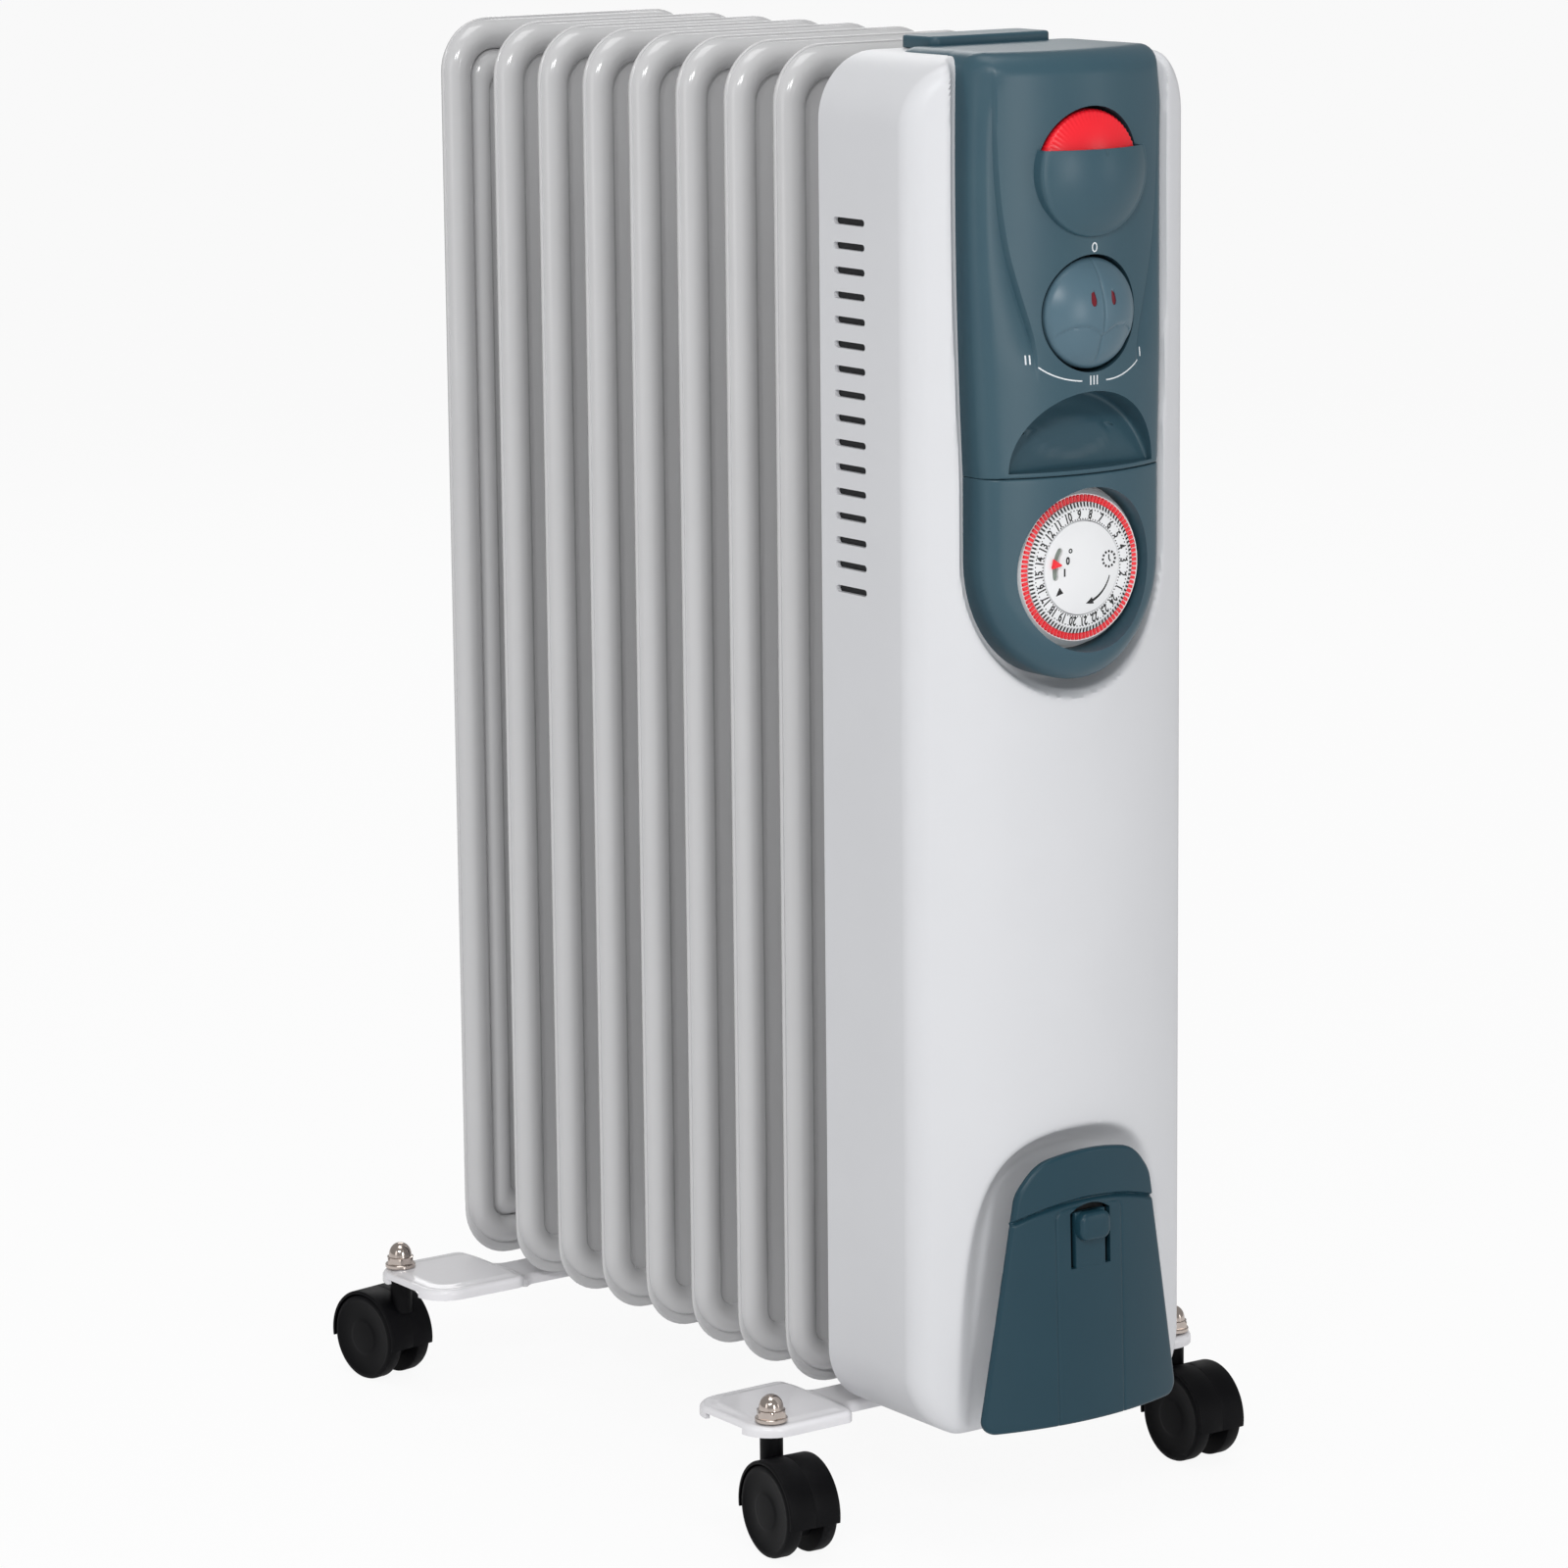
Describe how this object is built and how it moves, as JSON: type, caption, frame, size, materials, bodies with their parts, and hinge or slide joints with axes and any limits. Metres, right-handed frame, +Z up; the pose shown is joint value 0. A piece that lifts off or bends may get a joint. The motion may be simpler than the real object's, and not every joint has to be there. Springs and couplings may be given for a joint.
{
  "type": "oil filled radiator heater",
  "caption": "Free-standing oil filled radiator heater: a row of upright steel fins behind a control housing with thermostat, power switch and timer, on swivel casters.",
  "frame": {"origin": "on the floor, under the middle of the heater's overall box", "axes": "+Z up, -Y the way the control housing faces, +X to the right as seen by someone who faces the controls"},
  "size_m": [0.2554, 0.4269, 0.6356],
  "materials": {
    "enamel": "gloss stove enamel",
    "white_enamel": "gloss stove enamel",
    "housing": "satin powder coat",
    "fascia": "fine spark textured moulding",
    "red_plastic": "gloss",
    "white_plastic": "satin",
    "black_plastic": "satin",
    "steel": "zinc plated",
    "nickel": "polished nickel plate",
    "neon_lens": "clear tinted, gloss"
  },
  "bodies": {
    "heater": {"fin_1": "enamel", "fin_2": "enamel", "fin_3": "enamel", "fin_4": "enamel", "fin_5": "enamel", "fin_6": "enamel", "fin_7": "enamel", "fin_8": "enamel", "fin_9": "enamel", "upper_oil_plug": "steel", "lower_oil_plug": "steel", "heating_element": "steel", "front_housing": "housing", "heat_shield": "steel", "upper_fascia": "fascia", "top_slab": "fascia", "timer_fascia": "fascia", "thermostat_body": "black_plastic", "thermostat_cover": "fascia", "power_switch_body": "black_plastic", "timer_body": "white_plastic", "timer_centre_disc": "white_plastic", "cord_plate": "fascia", "cord_gland": "black_plastic", "thermal_cut_out": "steel", "rear_foot": "white_enamel", "front_foot": "white_enamel", "rear_u_bolt": "steel", "rear_wing_nut_left": "steel", "rear_wing_nut_right": "steel", "front_u_bolt": "steel", "front_wing_nut_left": "steel", "front_wing_nut_right": "steel", "caster_nut_front_left": "nickel", "caster_nut_front_right": "nickel", "caster_nut_rear_left": "nickel", "caster_nut_rear_right": "nickel"},
    "thermostat_dial": {"thermostat_dial": "red_plastic"},
    "power_knob": {"power_knob": "fascia", "neon_lens": "neon_lens"},
    "timer_dial": {"timer_dial": "white_plastic", "timer_tab_ring": "red_plastic"},
    "timer_override": {"timer_override_switch": "red_plastic"},
    "latch_tongue": {"latch_tongue": "fascia"},
    "caster_front_left": {"caster_fork_front_left": "black_plastic", "caster_axle_front_left": "steel"},
    "wheel_front_left_a": {"caster_wheel_front_left_a": "black_plastic"},
    "wheel_front_left_b": {"caster_wheel_front_left_b": "black_plastic"},
    "caster_front_right": {"caster_fork_front_right": "black_plastic", "caster_axle_front_right": "steel"},
    "wheel_front_right_a": {"caster_wheel_front_right_a": "black_plastic"},
    "wheel_front_right_b": {"caster_wheel_front_right_b": "black_plastic"},
    "caster_rear_left": {"caster_fork_rear_left": "black_plastic", "caster_axle_rear_left": "steel"},
    "wheel_rear_left_a": {"caster_wheel_rear_left_a": "black_plastic"},
    "wheel_rear_left_b": {"caster_wheel_rear_left_b": "black_plastic"},
    "caster_rear_right": {"caster_fork_rear_right": "black_plastic", "caster_axle_rear_right": "steel"},
    "wheel_rear_right_a": {"caster_wheel_rear_right_a": "black_plastic"},
    "wheel_rear_right_b": {"caster_wheel_rear_right_b": "black_plastic"}
  },
  "joints": [
    {"name": "thermostat_turn", "type": "hinge", "parent": "heater", "child": "thermostat_dial", "pos_m": [0, -0.1954, 0.5835], "axis": [0, 1, 0], "range_deg": [0, 270]},
    {"name": "power_knob_turn", "type": "hinge", "parent": "heater", "child": "power_knob", "pos_m": [0, -0.1954, 0.525], "axis": [0, 1, 0], "range_deg": [0, 240]},
    {"name": "timer_dial_turn", "type": "hinge", "parent": "heater", "child": "timer_dial", "pos_m": [0, -0.1934, 0.419], "axis": [0, 1, 0], "continuous": true},
    {"name": "timer_override_turn", "type": "hinge", "parent": "heater", "child": "timer_override", "pos_m": [0, -0.1964, 0.419], "axis": [0, 1, 0], "range_deg": [-20, 20]},
    {"name": "latch_tongue_flex", "type": "hinge", "parent": "heater", "child": "latch_tongue", "pos_m": [0, -0.2019, 0.1218], "axis": [-1, 0, 0], "range_deg": [0, 6], "stiffness_Nm_per_rad": 0.5},
    {"name": "caster_front_left_swivel", "type": "hinge", "parent": "heater", "child": "caster_front_left", "pos_m": [-0.11, -0.123, 0.0545], "axis": [0, 0, 1], "continuous": true},
    {"name": "wheel_front_left_a_roll", "type": "hinge", "parent": "caster_front_left", "child": "wheel_front_left_a", "pos_m": [-0.11965, -0.13636, 0.02], "axis": [0.9976, -0.0698, 0], "continuous": true},
    {"name": "wheel_front_left_b_roll", "type": "hinge", "parent": "caster_front_left", "child": "wheel_front_left_b", "pos_m": [-0.1023, -0.13757, 0.02], "axis": [0.9976, -0.0698, 0], "continuous": true},
    {"name": "caster_front_right_swivel", "type": "hinge", "parent": "heater", "child": "caster_front_right", "pos_m": [0.11, -0.123, 0.0545], "axis": [0, 0, 1], "continuous": true},
    {"name": "wheel_front_right_a_roll", "type": "hinge", "parent": "caster_front_right", "child": "wheel_front_right_a", "pos_m": [0.10106, -0.13685, 0.02], "axis": [0.9998, -0.0175, 0], "continuous": true},
    {"name": "wheel_front_right_b_roll", "type": "hinge", "parent": "caster_front_right", "child": "wheel_front_right_b", "pos_m": [0.11845, -0.13715, 0.02], "axis": [0.9998, -0.0175, 0], "continuous": true},
    {"name": "caster_rear_left_swivel", "type": "hinge", "parent": "heater", "child": "caster_rear_left", "pos_m": [-0.11, 0.1762, 0.0545], "axis": [0, 0, 1], "continuous": true},
    {"name": "wheel_rear_left_a_roll", "type": "hinge", "parent": "caster_rear_left", "child": "wheel_rear_left_a", "pos_m": [-0.1036, 0.19139, 0.02], "axis": [-0.9877, -0.1564, 0], "continuous": true},
    {"name": "wheel_rear_left_b_roll", "type": "hinge", "parent": "caster_rear_left", "child": "wheel_rear_left_b", "pos_m": [-0.12078, 0.18867, 0.02], "axis": [-0.9877, -0.1564, 0], "continuous": true},
    {"name": "caster_rear_right_swivel", "type": "hinge", "parent": "heater", "child": "caster_rear_right", "pos_m": [0.11, 0.1762, 0.0545], "axis": [0, 0, 1], "continuous": true},
    {"name": "wheel_rear_right_a_roll", "type": "hinge", "parent": "caster_rear_right", "child": "wheel_rear_right_a", "pos_m": [0.12078, 0.18867, 0.02], "axis": [-0.9877, 0.1564, 0], "continuous": true},
    {"name": "wheel_rear_right_b_roll", "type": "hinge", "parent": "caster_rear_right", "child": "wheel_rear_right_b", "pos_m": [0.1036, 0.19139, 0.02], "axis": [-0.9877, 0.1564, 0], "continuous": true}
  ]
}
